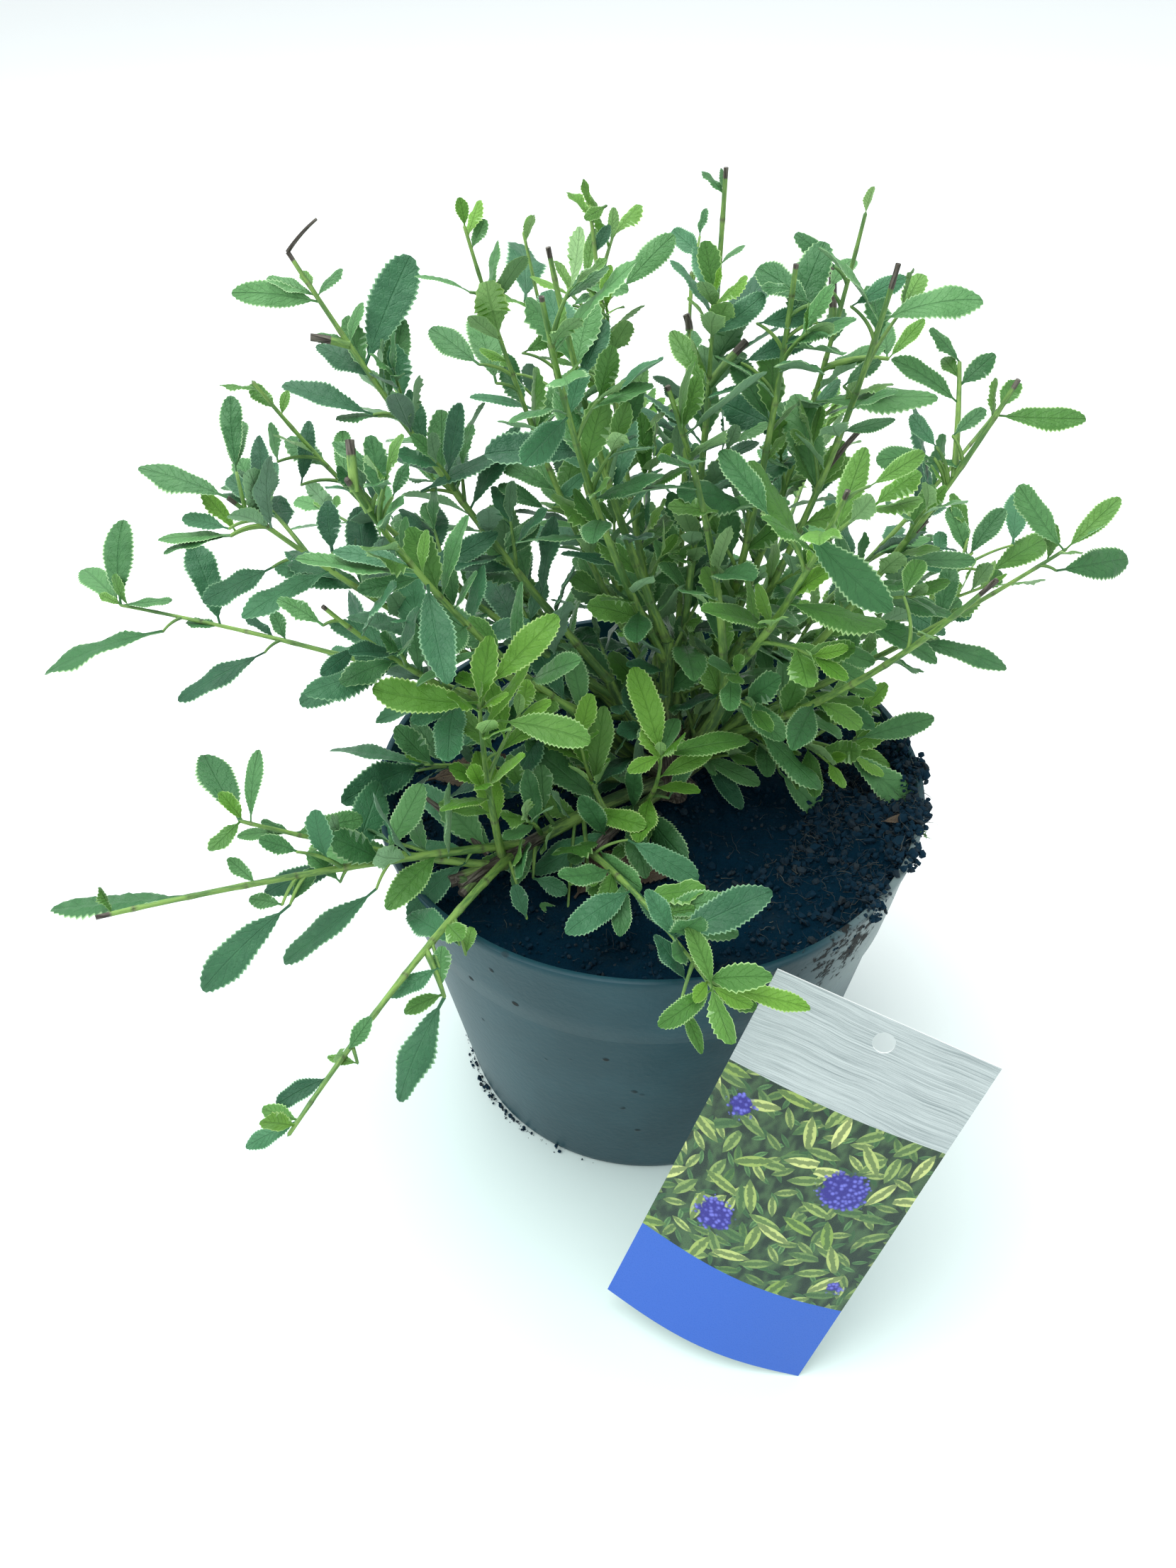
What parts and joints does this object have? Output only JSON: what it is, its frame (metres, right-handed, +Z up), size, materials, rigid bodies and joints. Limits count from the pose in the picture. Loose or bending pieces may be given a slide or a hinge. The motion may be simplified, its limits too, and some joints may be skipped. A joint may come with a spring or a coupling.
{
  "type": "california lilac in a nursery pot",
  "caption": "Young evergreen Ceanothus shrub, cut back, with spreading leafy shoots, growing in a round nursery pot of compost with a plain plant card.",
  "frame": {"origin": "middle of the pot's flat underside", "axes": "+Z up the plant, -Y to the front where the plant card leans, +X to the right"},
  "size_m": [0.3294, 0.317, 0.3254],
  "materials": {
    "pot": "moulded dark slate grey, faint satin",
    "compost": "damp fibrous compost",
    "bark": "young brown bark",
    "green_wood": "ridged green bark",
    "foliage": "toothed leaves with sunken veins",
    "card": "printed plastic card, satin"
  },
  "bodies": {
    "root": {"pot": "pot", "compost": "compost", "plant_card": "card", "trunk": "bark", "bough_left_high": "green_wood", "bough_back_left": "green_wood", "bough_centre": "green_wood", "bough_centre_back": "green_wood", "bough_right_back": "green_wood", "bough_right": "green_wood", "bough_front_right": "green_wood", "bough_low_right": "green_wood", "bough_front": "green_wood", "bough_front_left": "green_wood", "bough_left_low": "green_wood", "bough_left": "green_wood", "bough_left_mid": "green_wood", "bough_back_low": "green_wood", "bough_back_right": "green_wood", "bough_back_left_low": "green_wood", "spray_left_high_1": "foliage", "spray_left_high_2": "foliage", "spray_back_left_1": "foliage", "spray_back_left_2": "foliage", "spray_centre_1": "foliage", "spray_centre_2": "foliage", "spray_centre_3": "foliage", "spray_centre_back_1": "foliage", "spray_centre_back_2": "foliage", "spray_centre_back_3": "foliage", "spray_right_back_1": "foliage", "spray_right_back_2": "foliage", "spray_right_back_3": "foliage", "spray_right_1": "foliage", "spray_right_2": "foliage", "spray_right_3": "foliage", "spray_front_right_1": "foliage", "spray_front_right_2": "foliage", "spray_low_right_1": "foliage", "spray_low_right_2": "foliage", "spray_low_right_3": "foliage", "spray_front_1": "foliage", "spray_front_2": "foliage", "spray_front_3": "foliage", "spray_front_left_1": "foliage", "spray_front_left_2": "foliage", "spray_front_left_3": "foliage", "spray_front_left_4": "foliage", "spray_left_low_1": "foliage", "spray_left_1": "foliage", "spray_left_2": "foliage", "spray_left_mid_1": "foliage", "spray_left_mid_2": "foliage", "spray_back_low_1": "foliage", "spray_back_low_2": "foliage", "spray_back_right_1": "foliage", "spray_back_right_2": "foliage", "spray_back_right_3": "foliage", "spray_back_left_low_1": "foliage", "spray_back_left_low_2": "foliage"}
  },
  "joints": []
}
